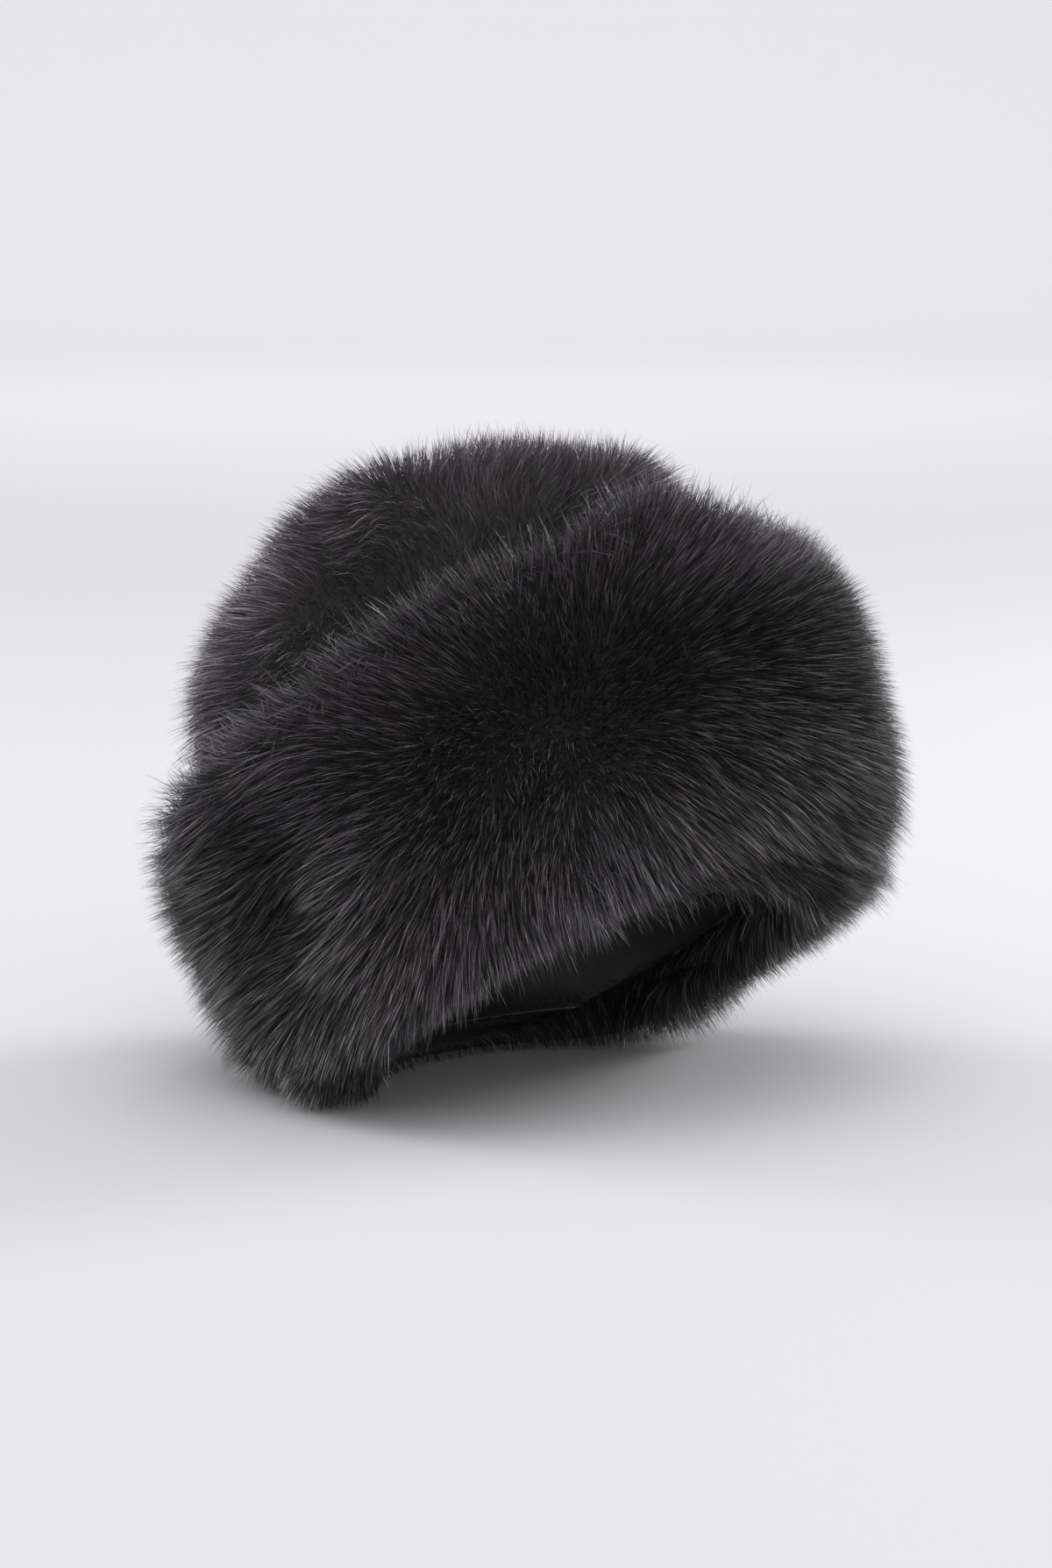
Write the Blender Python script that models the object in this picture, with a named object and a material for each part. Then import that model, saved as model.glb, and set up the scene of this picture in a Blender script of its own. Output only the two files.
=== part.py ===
"""A fur hat with a deep rolled brim, lying on its back left side as it settles on a table.

The hat is drawn upright in its own frame, leaned over, and pressed flat where it meets the table.
"""

import math
import random
from collections import namedtuple

import bmesh
import bpy
from mathutils import Matrix, Vector

# Head opening, walls and heights of the upright hat, in metres
OPENING_WIDTH = 0.176
OPENING_LENGTH = 0.192
LINING_WALL = 0.0015
PELT_WALL = 0.003
SEAT_GAP = 0.0005
CROWN_HEIGHT = 0.192
CROWN_SWAY = 0.014
BRIM_HEIGHT = 0.150
BRIM_DEPTH = 0.025

# Fur: how far a lock stands out, where its shoulder is and how wide, how its tip droops and how the locks vary
BRIM_PILE = 0.022
CROWN_PILE = 0.020
LOCK_SHOULDER = 0.52
LOCK_TAPER = 0.74
LOCK_DROOP = 0.30
LOCK_SCATTER = 0.22
LOCK_SEED = 7

# How the hat lies: its lean, the height of the rim's middle, and how firmly the table presses it
LEAN_LEFT = math.radians(25.4)
LEAN_BACK = math.radians(20.2)
RIM_LIFT = 0.037
PRESSED_FUR = 0.014
PRESS_SOFTNESS = 0.004
CONTACT_SKIN = 0.0020
LOCK_CLEARANCE = 0.004

STATIONS = 44

# The crown's rings from the rim to the top: height and girth as shares of the crown's, and the share of
# the pile that stands on the band of faces above the ring
CrownRing = namedtuple("CrownRing", "height girth pile")
CROWN_RINGS = (
    CrownRing(height=0.00, girth=1.00, pile=0.0),
    CrownRing(height=0.12, girth=1.00, pile=0.0),
    CrownRing(height=0.26, girth=1.01, pile=0.0),
    CrownRing(height=0.42, girth=1.03, pile=0.0),
    CrownRing(height=0.57, girth=1.03, pile=0.3),
    CrownRing(height=0.71, girth=1.02, pile=0.6),
    CrownRing(height=0.84, girth=0.98, pile=1.0),
    CrownRing(height=0.94, girth=0.87, pile=1.0),
    CrownRing(height=0.99, girth=0.66, pile=1.0),
    CrownRing(height=1.00, girth=0.34, pile=0.8),
)
SEAT_TOP = 1

# Soft dents in the crown: where they lie from its middle, how wide they are and how deep
Dent = namedtuple("Dent", "right back width depth")
CROWN_DENTS = (
    Dent(right=0.012, back=-0.010, width=0.030, depth=0.009),
    Dent(right=-0.045, back=0.020, width=0.025, depth=0.005),
)

# Brim stations, counted from the right side (0 degrees) by the back (90). Drop and rise are shares of
# BRIM_HEIGHT below and above the rim; depth and flare are shares of BRIM_DEPTH.
BrimStation = namedtuple("BrimStation", "drop rise depth flare")
BRIM_STATIONS = (
    BrimStation(drop=0.03, rise=0.85, depth=1.45, flare=0.55),
    BrimStation(drop=0.06, rise=0.80, depth=1.05, flare=0.30),
    BrimStation(drop=0.29, rise=0.82, depth=1.15, flare=0.20),
    BrimStation(drop=0.12, rise=0.80, depth=1.20, flare=0.05),
    BrimStation(drop=0.12, rise=0.79, depth=1.10, flare=0.05),
    BrimStation(drop=0.22, rise=0.88, depth=0.95, flare=0.10),
    BrimStation(drop=0.05, rise=0.96, depth=0.95, flare=0.30),
    BrimStation(drop=0.02, rise=0.95, depth=1.25, flare=0.65),
)

# The brim's section from the top of its seat over the roll to the underside. Out is a share of the
# depth, up a share of the way from the brim's bottom to its top, and pile as on the crown.
SectionPoint = namedtuple("SectionPoint", "out up pile")
BRIM_SECTION = (
    SectionPoint(out=0.20, up=0.30, pile=0.0),
    SectionPoint(out=0.58, up=0.46, pile=0.0),
    SectionPoint(out=0.66, up=0.86, pile=0.0),
    SectionPoint(out=0.76, up=1.00, pile=1.0),
    SectionPoint(out=0.90, up=0.96, pile=1.0),
    SectionPoint(out=1.02, up=0.80, pile=1.0),
    SectionPoint(out=1.06, up=0.63, pile=1.0),
    SectionPoint(out=1.05, up=0.46, pile=1.0),
    SectionPoint(out=0.98, up=0.30, pile=1.0),
    SectionPoint(out=0.84, up=0.15, pile=0.8),
    SectionPoint(out=0.60, up=0.04, pile=0.6),
    SectionPoint(out=0.36, up=0.00, pile=0.4),
    SectionPoint(out=0.10, up=0.01, pile=0.0),
)

# The fold pressed into the brim's lower left: the turn and share of the height that it is centred on,
# the turn and share that it spreads over, and its depth as a share of BRIM_DEPTH
Fold = namedtuple("Fold", "turn up wide tall depth")
BRIM_FOLDS = (
    Fold(turn=math.radians(221), up=0.58, wide=math.radians(13), tall=0.16, depth=0.55),
)


def around(values, share):
    """A closed smooth curve through evenly spaced values; share 0 to 1 goes once round."""
    place = (share % 1.0) * len(values)
    start = int(place)
    t = place - start
    before, here, after, beyond = (values[(start + step) % len(values)] for step in (-1, 0, 1, 2))
    slope = after - before
    bend = 2 * before - 5 * here + 4 * after - beyond
    twist = 3 * (here - after) + beyond - before
    return here + 0.5 * t * (slope + t * (bend + t * twist))


def station(turn):
    """The brim's station at this turn, between the rows of the table."""
    return BrimStation(*(around(column, turn / math.tau) for column in zip(*BRIM_STATIONS)))


def settle(point, layer):
    """Leans an upright point over, and lifts what would reach below the table onto it.

    Layer is how far outside the lining the point lies, so that pressed layers stay in order.
    """
    axis = Vector((-math.tan(LEAN_LEFT), math.tan(LEAN_BACK), 1))
    placed = Vector((0, 0, 1)).rotation_difference(axis) @ point + Vector((0, 0, RIM_LIFT))
    floor = max(PRESSED_FUR - layer, 0)
    above = placed.z - floor
    placed.z = floor + (above + math.hypot(above, PRESS_SOFTNESS)) / 2
    if floor == 0 and placed.z < CONTACT_SKIN:
        placed.z = 0
    return placed


def crown_point(turn, height, girth, layer):
    """A point of the crown, given as shares of its height and girth, this far outside the lining."""
    right = (OPENING_WIDTH / 2 + layer) * girth * math.cos(turn) + CROWN_SWAY * height**2
    back = (OPENING_LENGTH / 2 + layer) * girth * math.sin(turn)
    dented = height**4 * sum(
        dent.depth * math.exp(-((right - dent.right) ** 2 + (back - dent.back) ** 2) / dent.width**2)
        for dent in CROWN_DENTS
    )
    rise = (CROWN_HEIGHT + layer) * height - dented
    return settle(Vector((right, back, rise)), layer)


def brim_seat():
    """How far outside the lining the brim's inner face lies."""
    return SEAT_GAP + PELT_WALL + SEAT_GAP


def brim_point(turn, row):
    """A point of the brim's roll."""
    here = station(turn)
    spread = BRIM_DEPTH * row.out * (here.depth + here.flare * max(row.up - 0.5, 0) * 2)
    folded = sum(
        fold.depth * math.exp(-(((turn - fold.turn) / fold.wide) ** 2) - ((row.up - fold.up) / fold.tall) ** 2)
        for fold in BRIM_FOLDS
    )
    spread -= BRIM_DEPTH * folded * row.out
    girth = CROWN_RINGS[SEAT_TOP].girth
    right = (OPENING_WIDTH / 2 * girth + brim_seat() + spread) * math.cos(turn)
    back = (OPENING_LENGTH / 2 * girth + brim_seat() + spread) * math.sin(turn)
    height = BRIM_HEIGHT * (row.up * (here.rise + here.drop) - here.drop)
    return settle(Vector((right, back, height)), brim_seat() + spread)


def turns(number):
    """The turns of ring number's points. Every other ring is set on by half a step, so locks lie in a bond."""
    return [math.tau * (i + 0.5 * (number % 2)) / STATIONS for i in range(STATIONS)]


def crown_rings(layer):
    return [
        [crown_point(turn, ring.height, ring.girth, layer) for turn in turns(number)]
        for number, ring in enumerate(CROWN_RINGS)
    ]


def brim_rings():
    seat = crown_rings(brim_seat())[: SEAT_TOP + 1]
    roll = [
        [brim_point(turn, row) for turn in turns(number)]
        for number, row in enumerate(BRIM_SECTION, start=len(seat))
    ]
    return seat + roll


def loft(mesh, rings):
    """Bands of faces between rings of points. Returns the rings of vertices and the bands."""
    made = [[mesh.verts.new(point) for point in ring] for ring in rings]
    bands = []
    for lower, upper in zip(made, made[1:]):
        bands.append(band(mesh, lower, upper))
    return made, bands


def band(mesh, lower, upper):
    faces = []
    for i in range(len(lower)):
        k = (i + 1) % len(lower)
        faces.append(mesh.faces.new((lower[i], lower[k], upper[k], upper[i])))
    return faces


def close_top(mesh, ring, layer):
    """A fan of faces from a bag's last ring to the middle of its top."""
    top = mesh.verts.new(crown_point(0, 1, 0, layer))
    return [mesh.faces.new((ring[i], ring[(i + 1) % len(ring)], top)) for i in range(len(ring))]


def bag(mesh, inner, outer):
    """A bag with a wall between two layers of the crown's form. Returns its outer bands of faces."""
    inner_rings, _ = loft(mesh, crown_rings(inner))
    outer_rings, outer_bands = loft(mesh, crown_rings(outer))
    band(mesh, inner_rings[0], outer_rings[0])
    close_top(mesh, inner_rings[-1], inner)
    return outer_bands + [close_top(mesh, outer_rings[-1], outer)]


def grow_locks(mesh, faces, pile, picker):
    """Draws each face out into a tapered lock of fur with a drooping tip."""
    faces = [face for face in faces if min(vert.co.z for vert in face.verts) > LOCK_CLEARANCE]
    drawn = bmesh.ops.extrude_discrete_faces(mesh, faces=faces)["faces"]
    for face in drawn:
        middle = face.calc_center_median()
        scatter = Vector([picker.uniform(-LOCK_SCATTER, LOCK_SCATTER) for _ in range(3)])
        length = pile * picker.uniform(0.80, 1.15)
        growth = (face.normal + scatter).normalized() * length
        for vert in face.verts:
            vert.co = middle.lerp(vert.co, LOCK_TAPER) + growth * LOCK_SHOULDER
            vert.co.z = max(vert.co.z, CONTACT_SKIN)
        tip = bmesh.ops.poke(mesh, faces=[face])["verts"][0]
        tip.co = middle + growth - Vector((0, 0, LOCK_DROOP * length))
        tip.co.z = max(tip.co.z, CONTACT_SKIN)


def material(name, colour, roughness):
    made = bpy.data.materials.new(name)
    made.use_nodes = True
    shader = made.node_tree.nodes["Principled BSDF"]
    shader.inputs["Base Color"].default_value = (*colour, 1)
    shader.inputs["Roughness"].default_value = roughness
    shader.inputs["Metallic"].default_value = 0
    made.diffuse_color = (*colour, 1)
    return made


def add_piece(name, mesh, finish, collection):
    bmesh.ops.recalc_face_normals(mesh, faces=mesh.faces)
    data = bpy.data.meshes.new(name)
    mesh.to_mesh(data)
    mesh.free()
    data.materials.append(finish)
    piece = bpy.data.objects.new(name, data)
    collection.objects.link(piece)
    return piece


def add_lining(collection):
    mesh = bmesh.new()
    bag(mesh, -LINING_WALL, 0)
    return add_piece("lining", mesh, material("black_satin", (0.03, 0.027, 0.033), 0.4), collection)


def add_crown(collection, fur):
    picker = random.Random(LOCK_SEED)
    mesh = bmesh.new()
    bands = bag(mesh, SEAT_GAP, SEAT_GAP + PELT_WALL)
    bmesh.ops.recalc_face_normals(mesh, faces=mesh.faces)
    for ring, faces in zip(CROWN_RINGS, bands):
        if ring.pile > 0:
            grow_locks(mesh, faces, ring.pile * CROWN_PILE, picker)
    return add_piece("crown", mesh, fur, collection)


def add_brim(collection, fur):
    picker = random.Random(LOCK_SEED + 1)
    mesh = bmesh.new()
    rings, bands = loft(mesh, brim_rings())
    band(mesh, rings[-1], rings[0])
    bmesh.ops.recalc_face_normals(mesh, faces=mesh.faces)
    for row, faces in zip(BRIM_SECTION, bands[SEAT_TOP + 1 :]):
        if row.pile > 0:
            grow_locks(mesh, faces, row.pile * BRIM_PILE, picker)
    return add_piece("brim", mesh, fur, collection)


def centre_footprint(pieces):
    """Moves the pieces together until the middle of their footprint is at the origin."""
    corners = [vert.co for piece in pieces for vert in piece.data.vertices]
    right, back = ((min(c[i] for c in corners) + max(c[i] for c in corners)) / 2 for i in (0, 1))
    for piece in pieces:
        piece.data.transform(Matrix.Translation((-right, -back, 0)))


def clear_scene():
    for thing in list(bpy.data.objects):
        bpy.data.objects.remove(thing)


def main():
    clear_scene()
    collection = bpy.data.collections.new("fur_hat")
    bpy.context.scene.collection.children.link(collection)
    fur = material("black_fur", (0.012, 0.011, 0.0115), 0.75)
    centre_footprint([add_lining(collection), add_crown(collection, fur), add_brim(collection, fur)])


main()
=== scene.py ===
import math

import bmesh
import bpy
import numpy as np
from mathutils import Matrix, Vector, noise


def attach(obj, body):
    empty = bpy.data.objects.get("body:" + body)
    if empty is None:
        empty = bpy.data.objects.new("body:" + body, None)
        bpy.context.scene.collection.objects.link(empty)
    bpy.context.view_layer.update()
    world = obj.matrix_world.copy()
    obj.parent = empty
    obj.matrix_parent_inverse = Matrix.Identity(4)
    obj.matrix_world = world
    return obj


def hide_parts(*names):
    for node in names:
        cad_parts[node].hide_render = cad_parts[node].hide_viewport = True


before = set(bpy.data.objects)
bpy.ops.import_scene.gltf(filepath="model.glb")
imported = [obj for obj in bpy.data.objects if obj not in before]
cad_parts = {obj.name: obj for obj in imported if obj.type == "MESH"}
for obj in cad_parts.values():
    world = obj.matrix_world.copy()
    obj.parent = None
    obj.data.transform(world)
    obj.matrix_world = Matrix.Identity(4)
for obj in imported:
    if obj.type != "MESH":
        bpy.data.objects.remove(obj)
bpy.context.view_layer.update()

# how the hat lies: the middle of its head opening, and how far its axis leans left and back
lie = {
    "rimMiddle": Vector((0.0244, -0.0265, 0.0370)),
    "leanLeft": math.radians(25.4),
    "leanBack": math.radians(20.2),
}
hatAxis = Vector((-math.tan(lie["leanLeft"]), math.tan(lie["leanBack"]), 1)).normalized()
axis = np.array(hatAxis)
rimMiddle = np.array(lie["rimMiddle"])
hollowMiddle = rimMiddle + 0.075 * axis  # a point well inside the head's hollow


def isVector(value):
    if isinstance(value, Wire):
        return value.socket.type in ("VECTOR", "RGBA")
    return isinstance(value, (tuple, Vector))


class Wire:
    # one output socket; sums on wires add Math nodes, or Vector Math nodes where a side is a vector
    def __init__(self, bench, socket):
        self.bench = bench
        self.socket = socket

    def other(self, name):
        return Wire(self.bench, self.socket.node.outputs[name])

    def __add__(self, more):
        return self.bench.reckon("ADD", self, more)

    def __radd__(self, more):
        return self.bench.reckon("ADD", more, self)

    def __sub__(self, less):
        return self.bench.reckon("SUBTRACT", self, less)

    def __rsub__(self, whole):
        return self.bench.reckon("SUBTRACT", whole, self)

    def __mul__(self, times):
        return self.bench.reckon("MULTIPLY", self, times)

    def __rmul__(self, times):
        return self.bench.reckon("MULTIPLY", times, self)

    def __pow__(self, power):
        return self.bench.reckon("POWER", self, power)


class Bench:
    # adds nodes to one tree
    def __init__(self, tree):
        self.tree = tree

    def node(self, kind, settings=None, sockets=None):
        made = self.tree.nodes.new(kind)
        for name, value in (settings or {}).items():
            setattr(made, name, value)
        for name, value in (sockets or {}).items():
            if isinstance(name, int):
                socket = made.inputs[name]
            else:
                socket = next(s for s in made.inputs if s.name == name and s.enabled)
            if isinstance(value, Wire):
                self.tree.links.new(value.socket, socket)
            else:
                socket.default_value = value
        shown = [s for s in made.outputs if s.enabled]
        return Wire(self, shown[0]) if shown else made

    def reckon(self, operation, first, second):
        vectors = [isVector(first), isVector(second)]
        if not any(vectors):
            return self.node("ShaderNodeMath", {"operation": operation}, {0: first, 1: second})
        if operation == "MULTIPLY" and not all(vectors):
            arrow, number = (first, second) if vectors[0] else (second, first)
            scale = {"operation": "SCALE"}
            return self.node("ShaderNodeVectorMath", scale, {0: arrow, "Scale": number})
        return self.node("ShaderNodeVectorMath", {"operation": operation}, {0: first, 1: second})

    def unit(self, arrow):
        return self.node("ShaderNodeVectorMath", {"operation": "NORMALIZE"}, {0: arrow})

    def cross(self, first, second):
        product = {"operation": "CROSS_PRODUCT"}
        return self.node("ShaderNodeVectorMath", product, {0: first, 1: second})

    def mix(self, factor, dark, light):
        return self.node(
            "ShaderNodeMix",
            {"data_type": "RGBA"},
            {"Factor": factor, "A": (*dark, 1), "B": (*light, 1)},
        )

    def painted(self, name):
        # a number that the mesh carries in the attribute of this name
        return self.node("ShaderNodeAttribute", {"attribute_name": name}).other("Fac")


def newMaterial(name, colour):
    made = bpy.data.materials.new(name)
    made.use_nodes = True
    made.diffuse_color = (*colour, 1)
    shader = made.node_tree.nodes["Principled BSDF"]
    return made, Bench(made.node_tree), shader


def setShader(bench, shader, values):
    for name, value in values.items():
        if isinstance(value, Wire):
            bench.tree.links.new(value.socket, shader.inputs[name])
        else:
            shader.inputs[name].default_value = value


# hair finishes: dark at the root and lighter towards the tip, no two hairs quite alike, and lighter or
# darker with the painted light and shade that each hair's tone carries
hairFinish = {
    "brim guard hair": {
        "dark": (0.0080, 0.0072, 0.0079), "light": (0.2700, 0.2470, 0.2680),
        "roughness": 0.26, "gloss": 1.95,
    },
    "brim underfur": {
        "dark": (0.0095, 0.0086, 0.0093), "light": (0.0720, 0.0652, 0.0707),
        "roughness": 0.45, "gloss": 1.45,
    },
    # the crown's hair is painted lighter than the brim's, as painted light making up for the light that
    # the brim's bulk keeps off the crown
    "crown guard hair with painted light": {
        "dark": (0.0090, 0.0081, 0.0089), "light": (0.4400, 0.4040, 0.4370),
        "roughness": 0.26, "gloss": 2.10,
    },
    "crown underfur with painted light": {
        "dark": (0.0110, 0.0099, 0.0108), "light": (0.1650, 0.1502, 0.1634),
        "roughness": 0.45, "gloss": 1.50,
    },
}
rootTone = 0.45       # share of a hair's tone that shows at its root
darkRoughness = 0.12  # dark hairs are rougher by this


def hairMaterial(name):
    look = hairFinish[name]
    made, bench, shader = newMaterial(name, look["light"])
    tone = bench.painted("tone")
    along = bench.painted("along")
    setShader(bench, shader, {
        "Base Color": bench.mix(tone * (rootTone + (1 - rootTone) * along), look["dark"], look["light"]),
        "Roughness": look["roughness"] + darkRoughness * (1 - tone),
        "Metallic": 0.0,
        "IOR": look["gloss"],
    })
    return made


peltFinish = {
    "shown": (0.006, 0.0055, 0.006), "dark": (0.0180, 0.0164, 0.0172), "light": (0.0340, 0.0312, 0.0328),
    "mottle": 420.0, "bump": 0.0012, "bumpStrength": 0.6, "roughness": 0.85,
}


def peltMaterial():
    # the matted wool at the skin, seen only between the hairs
    made, bench, shader = newMaterial("matted pelt", peltFinish["shown"])
    place = bench.node("ShaderNodeTexCoord").other("Object")
    noiseSockets = {"Vector": place, "Scale": peltFinish["mottle"], "Detail": 3.0}
    mottle = bench.node("ShaderNodeTexNoise", {}, noiseSockets)
    bump = bench.node("ShaderNodeBump", {}, {
        "Strength": peltFinish["bumpStrength"], "Distance": peltFinish["bump"], "Height": mottle,
    })
    setShader(bench, shader, {
        "Base Color": bench.mix(mottle, peltFinish["dark"], peltFinish["light"]),
        "Roughness": peltFinish["roughness"],
        "Metallic": 0.0,
        "Normal": bump,
        "Specular IOR Level": 0.2,
    })
    return made


satinFinish = {
    "shown": (0.016, 0.0145, 0.0175), "dark": (0.0190, 0.0179, 0.0188), "light": (0.0320, 0.0300, 0.0314),
    "drape": 26.0, "twill": 620.0,  # how fine the soft folds and the weave are
    "drapeDepth": 0.0016, "twillDepth": 0.00006, "seamDepth": 0.0009,
    "roughness": 0.34, "drapeRoughness": 0.16, "tapeRoughness": 0.45,
}


def satinMaterial():
    made, bench, shader = newMaterial("black satin", satinFinish["shown"])
    place = bench.node("ShaderNodeTexCoord").other("Object")
    seam = bench.painted("seam")
    tape = bench.painted("tape")
    wave = {"wave_type": "BANDS", "bands_direction": "DIAGONAL"}
    waveSockets = {"Vector": place, "Scale": satinFinish["twill"], "Distortion": 1.5, "Detail": 1.0}
    twill = bench.node("ShaderNodeTexWave", wave, waveSockets).other("Fac")
    noiseSockets = {"Vector": place, "Scale": satinFinish["drape"], "Detail": 2.0}
    drape = bench.node("ShaderNodeTexNoise", {}, noiseSockets)
    height = (
        drape * satinFinish["drapeDepth"]
        + twill * satinFinish["twillDepth"]
        + seam * satinFinish["seamDepth"]
    )
    bump = bench.node("ShaderNodeBump", {}, {"Strength": 1.0, "Distance": 1.0, "Height": height})
    setShader(bench, shader, {
        "Base Color": bench.mix(0.55 * drape + 0.45 * twill, satinFinish["dark"], satinFinish["light"]),
        "Roughness": (
            satinFinish["roughness"]
            + satinFinish["drapeRoughness"] * drape
            + satinFinish["tapeRoughness"] * tape
        ),
        "Metallic": 0.0,
        "Normal": bump,
    })
    return made


def smoothStep(low, high, value):
    share = np.clip((value - low) / (high - low), 0, 1)
    return share * share * (3 - 2 * share)


def bell(value, middle, spread):
    # 1 in the middle and fading to both sides
    return np.exp(-(((value - middle) / spread) ** 2))


def window(turn, middle, spread):
    # the same for a turn in degrees, which wraps round
    return bell((turn - middle + 180) % 360 - 180, 0, spread)


def dot(arrows, others):
    return (arrows * others).sum(1)


def scaled(arrows, numbers):
    return arrows * numbers[:, None]


def addObject(name, mesh):
    made = bpy.data.objects.new(name, mesh)
    bpy.context.scene.collection.objects.link(made)
    return made


def weldedCopy(node, name):
    # a CAD node's mesh is loose triangles, so a copy is merged before anything is done to it
    mesh = bmesh.new()
    mesh.from_mesh(bpy.data.objects[node].data)
    mesh.transform(bpy.data.objects[node].matrix_world)
    bmesh.ops.remove_doubles(mesh, verts=mesh.verts, dist=0.00002)
    data = bpy.data.meshes.new(name)
    mesh.to_mesh(data)
    mesh.free()
    return data


def plainMesh(obj, name):
    # the object with its modifiers applied, as a mesh of its own
    graph = bpy.context.evaluated_depsgraph_get()
    data = bpy.data.meshes.new_from_object(obj.evaluated_get(graph), depsgraph=graph)
    data.name = name
    return data


def dropObject(obj):
    data = obj.data
    bpy.data.objects.remove(obj)
    if data.users == 0:
        bpy.data.meshes.remove(data)


def keepLargest(mesh):
    # a remesh leaves the tip of a thin lock as an island of its own
    work = bmesh.new()
    work.from_mesh(mesh)
    left, islands = set(work.verts), []
    while left:
        island, edge = set(), [left.pop()]
        while edge:
            vert = edge.pop()
            island.add(vert)
            for link in vert.link_edges:
                beyond = link.other_vert(vert)
                if beyond in left:
                    left.discard(beyond)
                    edge.append(beyond)
        islands.append(island)
    islands.sort(key=len)
    bmesh.ops.delete(work, geom=[vert for island in islands[:-1] for vert in island], context="VERTS")
    work.to_mesh(mesh)
    work.free()


def readMesh(mesh):
    points = np.empty(len(mesh.vertices) * 3, np.float32)
    mesh.vertices.foreach_get("co", points)
    normals = np.empty(len(mesh.vertices) * 3, np.float32)
    mesh.vertices.foreach_get("normal", normals)
    return points.reshape(-1, 3).astype(float), normals.reshape(-1, 3).astype(float)


def movePoints(mesh, points):
    mesh.vertices.foreach_set("co", points.astype(np.float32).ravel())
    mesh.polygons.foreach_set("use_smooth", [True] * len(mesh.polygons))
    mesh.update()


def storeNumbers(mesh, name, values):
    kind = "FLOAT_VECTOR" if values.ndim == 2 else "FLOAT"
    layer = mesh.attributes.new(name, kind, "POINT")
    layer.data.foreach_set("vector" if values.ndim == 2 else "value", values.astype(np.float32).ravel())


noise.seed_set(4)  # or else its vectors differ from run to run


def swirl(points, size, seed):
    # soft vectors that change over this size, one for each point
    shift = Vector((seed * 3.1, seed * 1.7, seed * 2.3))
    return np.array([noise.noise_vector(Vector(p) / size + shift) for p in points])


def inHatTerms(points, normals):
    # height along the hat's axis, turn round it, and how far a surface faces outwards and upwards
    away = points - rimMiddle
    height = away @ axis
    flat = away - height[:, None] * axis
    outward = flat / np.maximum(np.linalg.norm(flat, axis=1), 1e-6)[:, None]
    right = np.array(Vector((0, 0, 1)).rotation_difference(hatAxis) @ Vector((1, 0, 0)))
    back = np.cross(axis, right)
    turn = np.degrees(np.arctan2(flat @ back, flat @ right)) % 360
    return height, turn, dot(normals, outward), normals @ axis, outward


def alongSkin(arrows, normals):
    return arrows - scaled(normals, dot(arrows, normals))


brimSkin = {
    "voxel": 0.0054,
    "smoothing": 42,
    "sunk": 0.0098,        # how far the skin lies inside the locks' mean surface
    "hem": 0.0065,         # how far the fur is turned in round the opening
    "hemRight": 0.0080,    # and how much more at the right
    "frontHem": 0.0045,    # the near edge's fur hangs from this height on the brim
    "frontSoftness": 0.005,
    # full and flat places: name, turn, its spread, height, its spread, outwards, up the axis
    "places": (
        ("fold", 223, 11, 0.066, 0.014, -0.0085, 0.0),
        ("left shoulder", 214, 16, 0.120, 0.015, 0.0100, 0.0055),
        ("far left", 180, 18, 0.097, 0.011, 0.0042, 0.0),
        ("right side", 0, 36, 0.057, 0.032, 0.0032, 0.0),
        ("front right ridge", 312, 10, 0.133, 0.018, 0.0, 0.0120),
        ("right ridge", 338, 12, 0.129, 0.014, 0.0, -0.0050),
        ("right upper side", 345, 35, 0.095, 0.030, 0.0038, 0.0),
        ("right lower side", 350, 35, 0.008, 0.018, -0.0075, 0.0),
        ("far right hem", 66, 22, -0.012, 0.014, -0.0190, 0.0090),
    ),
}
brimFlow = {
    "parting": 0.070,       # height on the brim where the hair parts, up above it and down below it
    "partingReach": 0.055,  # it is fully combed this far from there
    "middle": 290,          # the turn where it parts to the left and right
    "up": 0.34, "down": 0.46, "aside": 0.13,
    "underneathOut": 0.35, "insideDown": 0.9, "ridgeUp": 1.1,
    "waves": ((0.045, 1, 0.14), (0.016, 2, 0.06)),  # size, seed and strength
}
brimReach = {
    "swirl": 0.16,
    "underside": 0.30,
    "facingIn": 0.50,  # walls that face the crown or the opening
    # shorter fur: turn, its spread, height where it starts, height where it is full, share
    "shorter": ((255, 45, 0.035, 0.000, 0.15), (182, 26, 0.050, 0.012, 0.35)),
    "fold": (223, 9, 0.066, 0.012),  # turn, its spread, height, its spread
    "foldShorter": 0.40,
    "least": 0.3, "most": 1.4,
}
# painted light and shade on the brim's hairs, lighter or darker by how the lamps fall on the fur
brimPaintedLight = {
    "base": 0.50,
    # painted light and shade: name, turn, its spread, height where it starts, height where it is full,
    # how much lighter
    "paintedShades": (
        ("lower front", 268, 34, 0.055, 0.020, 0.50),
        ("left side", 200, 34, 0.120, 0.095, -0.64),
        ("right side", 348, 36, 0.120, 0.090, -0.72),
    ),
    "ridge": 0.20, "shadeBehindRidge": 0.50,           # painted light on the ridge, painted shade behind it
    "paintedShadeMiddle": (292, 32, 0.080, 0.034, 0.35),  # painted shade in the middle: turn, its spread, height, its spread, how much darker
    "opening": 0.45, "fold": 0.30,                # painted shade round the opening and in the fold
    "least": -0.35, "most": 1.0,
}


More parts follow.
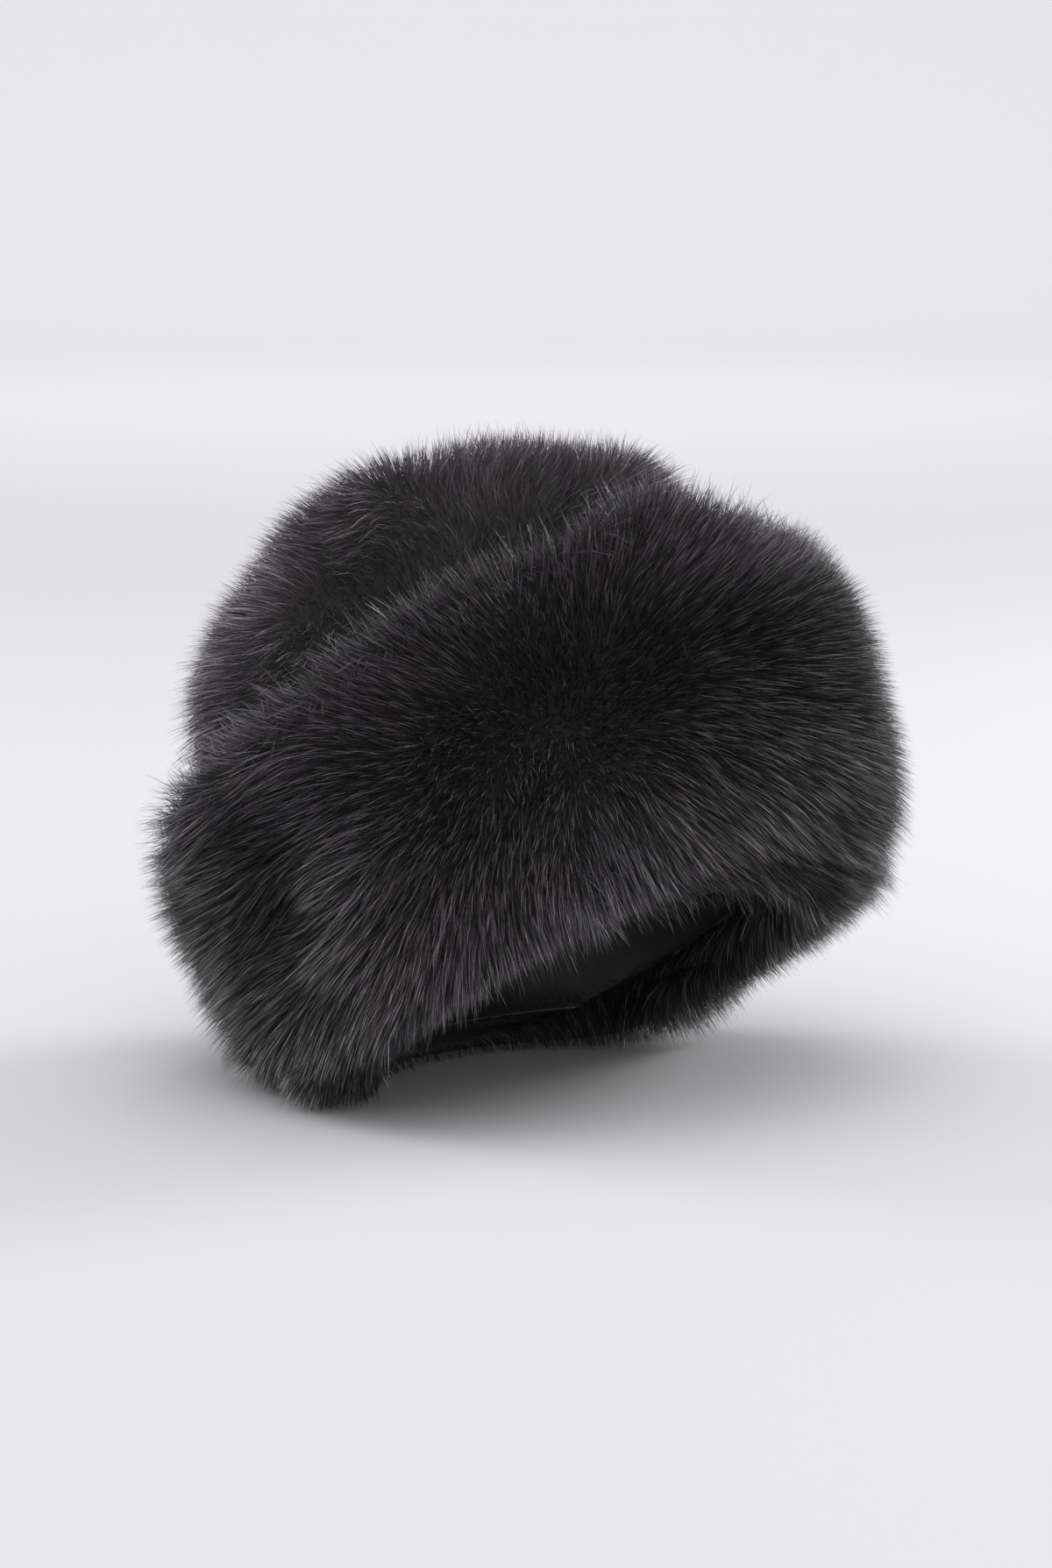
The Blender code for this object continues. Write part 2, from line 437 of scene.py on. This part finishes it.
def makeBrimSkin():
    scratch = addObject("brim skin", weldedCopy("brim", "brim skin"))
    remesh = scratch.modifiers.new("remesh", "REMESH")
    remesh.mode = "VOXEL"
    remesh.voxel_size = brimSkin["voxel"]
    smooth = scratch.modifiers.new("smooth", "SMOOTH")
    smooth.factor = 0.5
    smooth.iterations = brimSkin["smoothing"]
    mesh = plainMesh(scratch, "brim skin")
    dropObject(scratch)
    keepLargest(mesh)

    points, normals = readMesh(mesh)
    height, turn, facingOut, _, outward = inHatTerms(points, normals)
    aboveFloor = points[:, 2]
    # fur covers the outside and the top, and thins out on the floor and behind the ridge
    furred = smoothStep(-0.80, -0.25, facingOut)
    furred = np.maximum(furred, 0.7 * smoothStep(0.070, 0.095, height))
    hem = smoothStep(0.0185, 0.0125, height) * smoothStep(-0.1, -0.6, facingOut) * window(turn, 60, 80)
    cover = np.maximum(furred, hem) * smoothStep(0.0015, 0.0060, aboveFloor)
    cover *= 1 - 0.5 * smoothStep(0.1, -0.6, facingOut) * smoothStep(0.095, 0.115, height)
    points -= scaled(normals, brimSkin["sunk"] * furred * smoothStep(0.0, 0.02, aboveFloor))

    # the fur is turned in round the opening, most of all at the right
    rightSide = window(turn, 25, 48)
    points -= scaled(outward, hem * (brimSkin["hem"] + brimSkin["hemRight"] * rightSide))
    # the near edge is kept up off the rim, so that its hairs end there
    soft = brimSkin["frontSoftness"]
    raised = brimSkin["frontHem"] + soft * np.logaddexp(0, (height - brimSkin["frontHem"]) / soft)
    nearEdge = smoothStep(186, 212, turn) * smoothStep(346, 290, turn)
    points += axis * ((raised - height) * nearEdge)[:, None]
    for _, middle, spread, level, depth, out, up in brimSkin["places"]:
        share = window(turn, middle, spread) * bell(height, level, depth)
        share *= (facingOut > -0.3) | (height > 0.105) | (level < 0)
        points += scaled(outward * out + axis * up, share)
    movePoints(mesh, points)
    points, normals = readMesh(mesh)
    return mesh, points, normals, cover


def storeBrimGrowth(mesh, points, normals, cover):
    height, turn, facingOut, facingUp, outward = inHatTerms(points, normals)
    # which way the hair lies: combed from the parting, outwards underneath, up along the ridge
    lift = np.clip((height - brimFlow["parting"]) / brimFlow["partingReach"], -1.0, 1.0)
    combed = scaled(
        alongSkin(np.broadcast_to(axis, normals.shape), normals),
        np.where(lift > 0, brimFlow["up"] * lift, brimFlow["down"] * lift),
    )
    aside = brimFlow["aside"] * np.sin(np.radians(turn - brimFlow["middle"]))
    combed += scaled(np.cross(axis, outward), aside)
    combed = scaled(combed, 1 - smoothStep(0.5, 0.95, -facingUp))
    combed += scaled(outward, brimFlow["underneathOut"] * smoothStep(0.35, 0.85, -facingUp))
    waves = sum(swirl(points, size, seed) * strength for size, seed, strength in brimFlow["waves"])
    inside = smoothStep(-0.1, -0.7, facingOut) * smoothStep(0.030, 0.015, height)
    ridge = smoothStep(0.3, -0.5, facingOut) * smoothStep(0.085, 0.110, height)
    upwards = brimFlow["ridgeUp"] * ridge - brimFlow["insideDown"] * inside
    storeNumbers(mesh, "flow", combed + alongSkin(waves, normals) + axis * upwards[:, None])

    reach = 1.0 + brimReach["swirl"] * swirl(points, 0.030, 3)[:, 0]
    reach *= 1 - brimReach["underside"] * smoothStep(0.35, 0.95, -facingUp)
    reach *= 1 - brimReach["facingIn"] * smoothStep(0.1, -0.7, facingOut)
    for middle, spread, starts, full, share in brimReach["shorter"]:
        reach *= 1 - share * window(turn, middle, spread) * smoothStep(starts, full, height)
    middle, spread, level, depth = brimReach["fold"]
    fold = window(turn, middle, spread) * bell(height, level, depth)
    reach *= 1 - brimReach["foldShorter"] * fold
    storeNumbers(mesh, "reach", np.clip(reach, brimReach["least"], brimReach["most"]))

    # painted light and shade: lighter at the lower front and on the ridge, darker at the sides, behind
    # the ridge, in the middle, round the opening and in the fold
    light = np.full(len(points), brimPaintedLight["base"])
    for _, middle, spread, starts, full, more in brimPaintedLight["paintedShades"]:
        light += more * window(turn, middle, spread) * smoothStep(starts, full, height)
    paintedRidgeLight = brimPaintedLight["ridge"] * smoothStep(0.3, 0.8, facingOut)
    paintedRidgeLight -= brimPaintedLight["shadeBehindRidge"] * smoothStep(0.3, -0.4, facingOut)
    light += paintedRidgeLight * smoothStep(0.090, 0.120, height)
    middle, spread, level, depth, less = brimPaintedLight["paintedShadeMiddle"]
    light -= less * window(turn, middle, spread) * bell(height, level, depth)
    light -= brimPaintedLight["opening"] * smoothStep(0.2, -0.5, facingOut) * smoothStep(0.040, 0.015, height)
    light -= brimPaintedLight["fold"] * fold
    storeNumbers(mesh, "light", np.clip(light, brimPaintedLight["least"], brimPaintedLight["most"]))
    storeNumbers(mesh, "cover", cover)


crownSkin = {
    "lift": 0.0042,       # over the lining's outer face
    "rounds": 1,
    "smoothing": 6,
    # extra fullness: name, the way that a place faces, how nearly it faces that way where the fullness
    # starts and where it is full, the height on the hat where it starts and is full, and how much
    "fuller": (
        ("top's left hump", (-0.37, 0.0, 0.93), 0.84, 0.99, 0.13, 0.17, 0.0110),
        ("left side", (-1.0, 0.0, 0.0), 0.35, 0.90, 0.07, 0.12, 0.0115),
        ("right of the top", (0.80, 0.10, 0.59), 0.70, 0.98, 0.12, 0.17, 0.0068),
    ),
    # dents and humps of the top: place across, spread, how much
    "topPlaces": (
        (-0.032, 0.014, -0.0040), (-0.002, 0.022, -0.0024),
        (-0.095, 0.018, -0.0055), (-0.049, 0.015, 0.0034), (0.004, 0.015, -0.0050),
    ),
    "leastLift": 0.0020,  # the pelt is never nearer to the lining than this
    "hairLength": 0.016,  # hair over a dent is shorter by the dent's share of this
}
crownFlow = {"down": 0.12, "waves": ((0.040, 5, 0.40), (0.016, 6, 0.22))}
crownReach = {"swirl": 0.18, "least": 0.5, "most": 1.4}
# the crown hair's tone: random swirls, a base lighter than the brim's as painted light, painted light on
# the left and painted shade behind the brim
crownToneAndPaintedLight = {
    "base": 0.75, "swirl": 0.50,
    "left": (200, 40, 0.25),        # painted light on the left: turn, its spread, how much lighter
    "shadeBehindBrim": (262, 60, 0.40),  # painted shade behind the brim: turn, its spread, how much darker
    "most": 1.2,
}


def makeCrownSkin():
    # the lining's outer face, drawn out to where the crown's pelt lies
    mesh = bmesh.new()
    data = weldedCopy("lining", "crown skin")
    mesh.from_mesh(data)
    mesh.normal_update()
    middle = Vector(hollowMiddle)
    inner = [face for face in mesh.faces if face.normal.dot(face.calc_center_median() - middle) <= 0]
    bmesh.ops.delete(mesh, geom=inner, context="FACES")
    rim = [face for face in mesh.faces if face.normal.dot(hatAxis) < -0.9]
    bmesh.ops.delete(mesh, geom=rim, context="FACES")
    mesh.to_mesh(data)
    mesh.free()
    scratch = addObject("crown skin", data)
    divide = scratch.modifiers.new("subdivide", "SUBSURF")
    divide.levels = divide.render_levels = crownSkin["rounds"]
    smooth = scratch.modifiers.new("smooth", "SMOOTH")
    smooth.factor = 0.5
    smooth.iterations = crownSkin["smoothing"]
    grown = plainMesh(scratch, "crown skin")
    dropObject(scratch)

    points, normals = readMesh(grown)
    height = inHatTerms(points, normals)[0]
    grow = np.full(len(points), crownSkin["lift"])
    for _, way, starts, full, low, high, more in crownSkin["fuller"]:
        facing = normals @ np.array(way)
        grow += more * smoothStep(starts, full, facing) * smoothStep(low, high, height)
    onTop = smoothStep(0.15, 0.185, height)
    for across, spread, more in crownSkin["topPlaces"]:
        grow += more * bell(points[:, 0], across, spread) * onTop
    # the pelt stays outside the lining, so where the fur lies lower its hair is cut shorter
    short = np.maximum(crownSkin["leastLift"] - grow, 0)
    points += scaled(normals, np.maximum(grow, crownSkin["leastLift"]))
    movePoints(grown, points)

    points, normals = readMesh(grown)
    height, turn = inHatTerms(points, normals)[:2]
    cover = smoothStep(0.070, 0.100, height) * smoothStep(0.004, 0.010, points[:, 2])
    storeNumbers(grown, "cover", cover)
    down = -alongSkin(np.broadcast_to(axis, normals.shape), normals)
    waves = sum(swirl(points, size, seed) * strength for size, seed, strength in crownFlow["waves"])
    storeNumbers(grown, "flow", down * crownFlow["down"] + alongSkin(waves, normals))
    reach = 1.0 + crownReach["swirl"] * swirl(points, 0.028, 7)[:, 0]
    reach *= 1 - short / crownSkin["hairLength"]
    storeNumbers(grown, "reach", np.clip(reach, crownReach["least"], crownReach["most"]))
    # painted light on the left and painted shade behind the brim, over the random swirls
    middle, spread, more = crownToneAndPaintedLight["left"]
    light = crownToneAndPaintedLight["base"] + crownToneAndPaintedLight["swirl"] * swirl(points, 0.032, 9)[:, 0]
    light += more * window(turn, middle, spread)
    middle, spread, less = crownToneAndPaintedLight["shadeBehindBrim"]
    light -= less * window(turn, middle, spread) * smoothStep(0.175, 0.130, height)
    storeNumbers(grown, "light", np.clip(light, 0, crownToneAndPaintedLight["most"]))
    return grown


def bladeMesh(name, rows):
    # a flat hair that narrows to a point
    mesh = bpy.data.meshes.new(name)
    points, along, side, faces = [], [], [], []
    for share, half in rows:
        for way in ((-1, 1) if half else (0,)):
            points.append((way * half, 0, share))
            along.append(share)
            side.append(way * half)
    for row in range(len(rows) - 1):
        a = 2 * row
        if rows[row + 1][1]:
            faces.append((a, a + 1, a + 3, a + 2))
        else:
            faces.append((a, a + 1, a + 2))
    mesh.from_pydata(points, [], faces)
    storeNumbers(mesh, "along", np.array(along))
    storeNumbers(mesh, "side", np.array(side))
    return mesh


hairShape = {
    "bend": 0.35,        # how far a hair's tip bends on along the flow
    "gatherPower": 1.3,  # over 1, the hairs of a tuft meet nearer to their tips
    "tone": 0.22, "tonePower": 2.5, "toneMean": 0.286,
    "floorGap": 0.0004,
}


def hairTree():
    tree = bpy.data.node_groups.new("hair on a skin", "GeometryNodeTree")
    face = tree.interface
    face.new_socket("Geometry", in_out="OUTPUT", socket_type="NodeSocketGeometry")
    face.new_socket("Skin", in_out="INPUT", socket_type="NodeSocketGeometry")
    for name, kind in (
        ("Blade", "Object"), ("Hairs per area", "Float"), ("Tufts per area", "Float"), ("Seed", "Int"),
        ("Length", "Float"), ("Length spread", "Float"), ("Width", "Float"), ("Stray", "Float"),
        ("Tuft stray", "Float"), ("Gather", "Float"), ("Comb", "Float"), ("Droop", "Float"),
        ("Tone spread", "Float"), ("Floor gap", "Float"), ("Finish", "Material"),
    ):
        face.new_socket(name, in_out="INPUT", socket_type=f"NodeSocket{kind}")

    bench = Bench(tree)
    given = bench.node("NodeGroupInput")

    def named(name, kind="FLOAT"):
        return bench.node("GeometryNodeInputNamedAttribute", {"data_type": kind}, {"Name": name})

    def keep(geometry, name, value, kind="FLOAT", domain="POINT"):
        return bench.node(
            "GeometryNodeStoreNamedAttribute",
            {"data_type": kind, "domain": domain},
            {"Geometry": geometry, "Name": name, "Value": value},
        )

    def chance(seed, low=0.0, high=1.0, kind="FLOAT"):
        sockets = {"Min": low, "Max": high, "Seed": seed}
        return bench.node("FunctionNodeRandomValue", {"data_type": kind}, sockets)

    def anyWay(seed):
        return chance(seed, (-1, -1, -1), (1, 1, 1), "FLOAT_VECTOR")

    seed = given.other("Seed")
    skin = given.other("Skin")
    density = given.other("Hairs per area") * named("cover")
    roots = bench.node(
        "GeometryNodeDistributePointsOnFaces",
        {"distribute_method": "RANDOM"},
        {"Mesh": skin, "Density": density, "Seed": seed},
    )
    stand = roots.other("Normal")
    spot = bench.node("GeometryNodeInputPosition")

    # every hair leans towards the nearest tuft's middle and shares that tuft's own stray
    tufts = bench.node(
        "GeometryNodeDistributePointsOnFaces",
        {"distribute_method": "RANDOM"},
        {"Mesh": skin, "Density": given.other("Tufts per area"), "Seed": seed + 101},
    )
    tufts = keep(tufts, "tuftStray", anyWay(seed + 7), "FLOAT_VECTOR")
    nearest = bench.node(
        "GeometryNodeSampleNearest",
        {"domain": "POINT"},
        {"Geometry": tufts, "Sample Position": spot},
    )

    def ofTuft(value):
        return bench.node(
            "GeometryNodeSampleIndex",
            {"data_type": "FLOAT_VECTOR", "domain": "POINT"},
            {"Geometry": tufts, "Value": value, "Index": nearest},
        )

    tuftSpot = ofTuft(spot)
    tuftStray = ofTuft(named("tuftStray", "FLOAT_VECTOR"))

    marked = keep(roots, "root", spot, "FLOAT_VECTOR")
    # a power of an even chance makes a few hairs much lighter than the rest; its mean is taken off
    lighter = chance(seed + 1) ** hairShape["tonePower"] - hairShape["toneMean"]
    # each hair's tone is shifted by the painted light and shade that its skin carries
    tone = hairShape["tone"] + 0.5 * named("light") + given.other("Tone spread") * lighter
    marked = keep(marked, "tone", bench.node("ShaderNodeClamp", {}, {"Value": tone}))
    heading = bench.unit(
        stand
        + named("flow", "FLOAT_VECTOR") * given.other("Comb")
        + anyWay(seed + 2) * given.other("Stray")
        + tuftStray * given.other("Tuft stray")
    )
    marked = keep(marked, "heading", heading, "FLOAT_VECTOR")
    marked = keep(marked, "gather", (tuftSpot - spot) * given.other("Gather"), "FLOAT_VECTOR")
    marked = keep(marked, "twist", anyWay(seed + 3), "FLOAT_VECTOR")
    spread = given.other("Length spread")
    length = given.other("Length") * named("reach") * (1 - spread * chance(seed + 4))
    marked = keep(marked, "length", length)

    blade = bench.node(
        "GeometryNodeObjectInfo",
        {"transform_space": "ORIGINAL"},
        {"Object": given.other("Blade")},
    )
    planted = bench.node(
        "GeometryNodeInstanceOnPoints",
        {},
        {"Points": marked, "Instance": blade.other("Geometry")},
    )
    real = bench.node("GeometryNodeRealizeInstances", {}, {"Geometry": planted})

    along = named("along")
    heading = named("heading", "FLOAT_VECTOR")
    flow = named("flow", "FLOAT_VECTOR")
    down = bench.node("ShaderNodeCombineXYZ", {}, {"Z": -1.0})
    bent = flow * (hairShape["bend"] * given.other("Comb")) + down * given.other("Droop")
    flat = bench.unit(bench.cross(heading, named("twist", "FLOAT_VECTOR")))
    place = (
        named("root", "FLOAT_VECTOR")
        + (heading * along + bent * (along * along)) * named("length")
        + named("gather", "FLOAT_VECTOR") * (along ** hairShape["gatherPower"])
        + flat * (named("side") * given.other("Width"))
    )
    parts = bench.node("ShaderNodeSeparateXYZ", {}, {"Vector": place})
    lowest = given.other("Floor gap") * (0.5 + named("tone"))
    resting = bench.node(
        "ShaderNodeCombineXYZ",
        {},
        {
            "X": parts.other("X"),
            "Y": parts.other("Y"),
            "Z": bench.reckon("MAXIMUM", parts.other("Z"), lowest),
        },
    )
    moved = bench.node("GeometryNodeSetPosition", {}, {"Geometry": real, "Position": resting})
    # the chart runs from dark to light hairs and from root to tip
    chart = bench.node(
        "ShaderNodeCombineXYZ",
        {},
        {"X": 0.02 + 0.95 * named("tone") + 0.006 * named("side"), "Y": 0.02 + 0.96 * along},
    )
    mapped = keep(moved, "OFBake", chart, "FLOAT2", "CORNER")
    finished = bench.node(
        "GeometryNodeSetMaterial",
        {},
        {"Geometry": mapped, "Material": given.other("Finish")},
    )
    bench.node("NodeGroupOutput", {}, {"Geometry": finished})
    return tree


growthNumbers = ("cover", "reach", "flow", "light")  # what a skin tells its hair


def growHair(name, skin, tree, blade, hairs, values, finish):
    # one coat of about this many hairs on a skin, as a plain mesh
    scratch = addObject(name, skin)
    cover = np.empty(len(skin.vertices), np.float32)
    skin.attributes["cover"].data.foreach_get("value", cover)
    furredArea = 0.0
    for polygon in skin.polygons:
        furredArea += polygon.area * cover[list(polygon.vertices)].mean()
    inputs = {
        "Blade": blade, "Hairs per area": hairs / furredArea, "Floor gap": hairShape["floorGap"],
        "Finish": finish, **values,
    }
    modifier = scratch.modifiers.new(name, "NODES")
    modifier.node_group = tree
    for item in tree.interface.items_tree:
        if item.in_out == "INPUT" and item.name in inputs:
            modifier[item.identifier] = inputs[item.name]
    scratch.update_tag()
    mesh = plainMesh(scratch, name)
    bpy.data.objects.remove(scratch)
    # what only the growing needs is taken off again
    spent = ("root", "heading", "gather", "twist", "length", "side", "id", *growthNumbers)
    for attribute in [a.name for a in mesh.attributes if a.name in spent]:
        mesh.attributes.remove(mesh.attributes[attribute])
    made = addObject(name, mesh)
    print(name, len(mesh.polygons), "faces")
    return made


def dressPiece(piece, node):
    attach(piece, "root")
    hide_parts(node)


# rows of (share of the length, half width) from root to tip
bladeRows = {
    "underfur blade": ((0, 0.5), (0.55, 0.42), (1, 0)),
    "guard blade": ((0, 0.42), (0.4, 0.5), (0.75, 0.34), (1, 0)),
}
blades = [addObject(name, bladeMesh(name, rows)) for name, rows in bladeRows.items()]
underfurBlade, guardBlade = blades
hairs = hairTree()

brimSkinMesh, brimPoints, brimNormals, brimCover = makeBrimSkin()
storeBrimGrowth(brimSkinMesh, brimPoints, brimNormals, brimCover)
crownSkinMesh = makeCrownSkin()
print("skins", len(brimSkinMesh.polygons), len(crownSkinMesh.polygons))

# the four coats of hair, in metres and shares
brimUnderfur = {
    "Tufts per area": 250000.0, "Length": 0.0168, "Length spread": 0.35, "Width": 0.00031, "Stray": 0.11,
    "Tuft stray": 0.07, "Gather": 0.24, "Comb": 1.0, "Droop": 0.12, "Tone spread": 0.45,
}
brimGuard = {
    "Tufts per area": 230000.0, "Length": 0.0228, "Length spread": 0.35, "Width": 0.00021, "Stray": 0.11,
    "Tuft stray": 0.08, "Gather": 0.22, "Comb": 1.0, "Droop": 0.17, "Tone spread": 1.15,
}
crownUnderfur = {
    "Tufts per area": 220000.0, "Length": 0.0135, "Length spread": 0.35, "Width": 0.00033, "Stray": 0.15,
    "Tuft stray": 0.09, "Gather": 0.22, "Comb": 1.0, "Droop": 0.08, "Tone spread": 0.60,
}
crownGuard = {
    "Tufts per area": 190000.0, "Length": 0.0190, "Length spread": 0.35, "Width": 0.00021, "Stray": 0.14,
    "Tuft stray": 0.10, "Gather": 0.20, "Comb": 1.0, "Droop": 0.12, "Tone spread": 1.20,
}
# piece, node, skin, blade, about how many hairs, values, seed and finish
coats = (
    ("brimUnderfurFirst", "brim", brimSkinMesh, underfurBlade, 62000, brimUnderfur, 11, "brim underfur"),
    ("brimUnderfurSecond", "brim", brimSkinMesh, underfurBlade, 62000, brimUnderfur, 12, "brim underfur"),
    ("brimGuardFirst", "brim", brimSkinMesh, guardBlade, 37000, brimGuard, 21, "brim guard hair"),
    ("brimGuardSecond", "brim", brimSkinMesh, guardBlade, 37000, brimGuard, 22, "brim guard hair"),
    ("crownUnderfur", "crown", crownSkinMesh, underfurBlade, 40000, crownUnderfur, 31, "crown underfur with painted light"),
    ("crownGuard", "crown", crownSkinMesh, guardBlade, 15000, crownGuard, 41, "crown guard hair with painted light"),
)
finishes = {name: hairMaterial(name) for name in hairFinish}
for name, node, skin, blade, number, values, seed, finish in coats:
    piece = growHair(name, skin, hairs, blade, number, {**values, "Seed": seed}, finishes[finish])
    dressPiece(piece, node)

for name, node, skin in (("brimPelt", "brim", brimSkinMesh), ("crownPelt", "crown", crownSkinMesh)):
    pelt = addObject(name, skin.copy())
    for attribute in growthNumbers:
        pelt.data.attributes.remove(pelt.data.attributes[attribute])
    pelt.data.materials.clear()
    pelt.data.materials.append(peltMaterial())
    dressPiece(pelt, node)


lining = {
    "gores": 6, "seamWidth": 0.0016,
    "tuckedIn": 0.0070,     # how far the rim is drawn in at the front
    "tuckedAt": (276, 44),  # turn and its spread
    "thinned": 0.0012,      # how far the hidden outer face is drawn in
}


def makeLining():
    scratch = addObject("lining cloth", weldedCopy("lining", "lining cloth"))
    divide = scratch.modifiers.new("subdivide", "SUBSURF")
    divide.levels = divide.render_levels = 1
    mesh = plainMesh(scratch, "lining cloth")
    dropObject(scratch)
    points, normals = readMesh(mesh)
    height, turn = inHatTerms(points, normals)[:2]
    step = 360 / lining["gores"]
    apart = np.abs((turn + step / 2) % step - step / 2)
    radius = np.linalg.norm(points - rimMiddle - height[:, None] * axis, axis=1)
    storeNumbers(mesh, "seam", 1 - bell(np.radians(apart) * radius, 0, lining["seamWidth"]))
    storeNumbers(mesh, "tape", smoothStep(0.006, 0.002, height))  # a dull band along the rim
    tucked = lining["tuckedIn"] * window(turn, *lining["tuckedAt"]) * smoothStep(0.030, 0.0, height)
    points += axis * tucked[:, None]
    # its hidden outer face is drawn in, clear of the pelt
    outer = dot(points - hollowMiddle, normals) > 0
    points -= scaled(normals, lining["thinned"] * outer * smoothStep(0.03, 0.06, height))
    movePoints(mesh, points)
    mesh.materials.append(satinMaterial())
    return addObject("liningCloth", mesh)


dressPiece(makeLining(), "lining")
for blade in blades:
    dropObject(blade)
bpy.data.node_groups.remove(hairs)
for skin in (brimSkinMesh, crownSkinMesh):
    bpy.data.meshes.remove(skin)
print("lining done")


studio = {
    "rings": (0.6, 2.0, 4.4),  # radii of the flat floor
    "sweepRadius": 1.2, "sweepSteps": 16, "wallTop": 1.4, "segments": 96,
    "paper": (0.565, 0.560, 0.571),
    # the paper painted lighter behind, as painted light on the back of the floor and the wall
    "paperPaintedLighter": (0.600, 0.594, 0.604),
    "paintedLightFrom": -0.15, "paintedLightFull": 0.95,  # how far back the painted light on the paper starts and is full
    "wallFade": 0.42, "wallShare": 0.6,       # and the height above which only a share of that painted light is left
    "sky": (0.975, 0.970, 1.0),
    "skyStrength": 0.66,
    "lampColour": (1.0, 0.995, 1.0),
    # place, what it points at, size and power
    "lamps": (
        ("overhead", (-0.1, 0.10, 1.8), (0, 0, 0.1), (1.4, 1.2), 7.0),
        ("top front", (0.0, -0.9, 1.8), (0, 0, 0.1), (1.4, 1.0), 8.0),
        ("front", (0.0, -2.2, 1.7), (0, 0, 0.1), (1.6, 1.0), 10.0),
        ("front low", (0.6, -2.4, 0.45), (0, 0, 0.1), (1.4, 0.5), 14.0),
        ("right behind", (1.9, 1.1, 0.9), (0, 0, 0.1), (1.0, 0.8), 40.0),
        ("left behind", (-1.9, 1.1, 0.9), (0, 0, 0.1), (1.0, 0.8), 21.0),
        ("behind", (0.0, 3.3, 2.4), (0, 5.2, 0.4), (4.0, 1.6), 72.0),
    ),
}


def makeSweep():
    # round floor, curved sweep and wall in one sheet, so that it lies behind the hat from every side
    floor, bend, count = studio["rings"][-1], studio["sweepRadius"], studio["segments"]
    outline = [(radius, 0.0) for radius in studio["rings"]]
    for i in range(studio["sweepSteps"]):
        a = math.radians(90) * (i + 1) / studio["sweepSteps"]
        outline.append((floor + bend * math.sin(a), bend * (1 - math.cos(a))))
    outline.append((floor + bend, studio["wallTop"]))
    points = [(0, 0, 0)]
    for radius, z in outline:
        for i in range(count):
            a = math.tau * i / count
            points.append((radius * math.cos(a), radius * math.sin(a), z))
    faces = [(0, 1 + i, 1 + (i + 1) % count) for i in range(count)]
    for ring in range(len(outline) - 1):
        low = 1 + ring * count
        for i in range(count):
            after = (i + 1) % count
            faces.append((low + i, low + count + i, low + count + after, low + after))
    mesh = bpy.data.meshes.new("sweep")
    mesh.from_pydata(points, [], faces)
    mesh.polygons.foreach_set("use_smooth", [True] * len(mesh.polygons))
    made, bench, shader = newMaterial("studio paper", studio["paper"])
    place = bench.node("ShaderNodeTexCoord").other("Object")
    grain = bench.node("ShaderNodeTexNoise", {}, {"Vector": place, "Scale": 900.0, "Detail": 2.0})
    bump = bench.node("ShaderNodeBump", {}, {"Strength": 0.05, "Distance": 0.0004, "Height": grain})
    # painted light: the paper is painted a little lighter behind than in front, and less so on the wall's
    # upper part
    parts = bench.node("ShaderNodeSeparateXYZ", {}, {"Vector": place})
    soften = {"interpolation_type": "SMOOTHSTEP"}
    paintedLightBehind = bench.node("ShaderNodeMapRange", soften, {
        "Value": parts.other("Y"), "From Min": studio["paintedLightFrom"], "From Max": studio["paintedLightFull"],
    })
    upwards = bench.node("ShaderNodeMapRange", soften, {
        "Value": parts.other("Z"), "From Min": 0.0, "From Max": studio["wallFade"],
        "To Min": 1.0, "To Max": studio["wallShare"],
    })
    setShader(bench, shader, {
        "Base Color": bench.mix(paintedLightBehind * upwards, studio["paper"], studio["paperPaintedLighter"]),
        "Roughness": 0.92,
        "Specular IOR Level": 0.1,
        "Normal": bump,
    })
    mesh.materials.append(made)
    sweep = addObject("sweep", mesh)


def addSoftLight(name, spot, aim, size, power):
    light = bpy.data.lights.new(name, "AREA")
    light.shape = "RECTANGLE"
    light.size, light.size_y = size
    light.energy = power
    light.color = studio["lampColour"]
    made = bpy.data.objects.new(name, light)
    bpy.context.scene.collection.objects.link(made)
    made.location = spot
    made.visible_camera = False
    made.rotation_euler = (Vector(aim) - Vector(spot)).to_track_quat("-Z", "Y").to_euler()


makeSweep()
world = bpy.data.worlds.new("studio air")
world.use_nodes = True
sky = world.node_tree.nodes["Background"].inputs
sky["Color"].default_value = (*studio["sky"], 1)
sky["Strength"].default_value = studio["skyStrength"]
bpy.context.scene.world = world
for lamp in studio["lamps"]:
    addSoftLight(*lamp)

camera = {"aim": (-0.0030, -0.0220, 0.1180), "distance": 2.2, "rise": 8.0, "angle": 10.51}
lens = bpy.data.cameras.new("camera")
lens.sensor_fit = "HORIZONTAL"
lens.angle = math.radians(camera["angle"])
eye = bpy.data.objects.new("camera", lens)
bpy.context.scene.collection.objects.link(eye)
rise = math.radians(camera["rise"])
eye.location = Vector(camera["aim"]) + camera["distance"] * Vector((0, -math.cos(rise), math.sin(rise)))
eye.rotation_euler = (math.radians(90) - rise, 0, 0)
bpy.context.scene.camera = eye
bpy.context.scene.view_settings.view_transform = "Standard"
print("studio done")
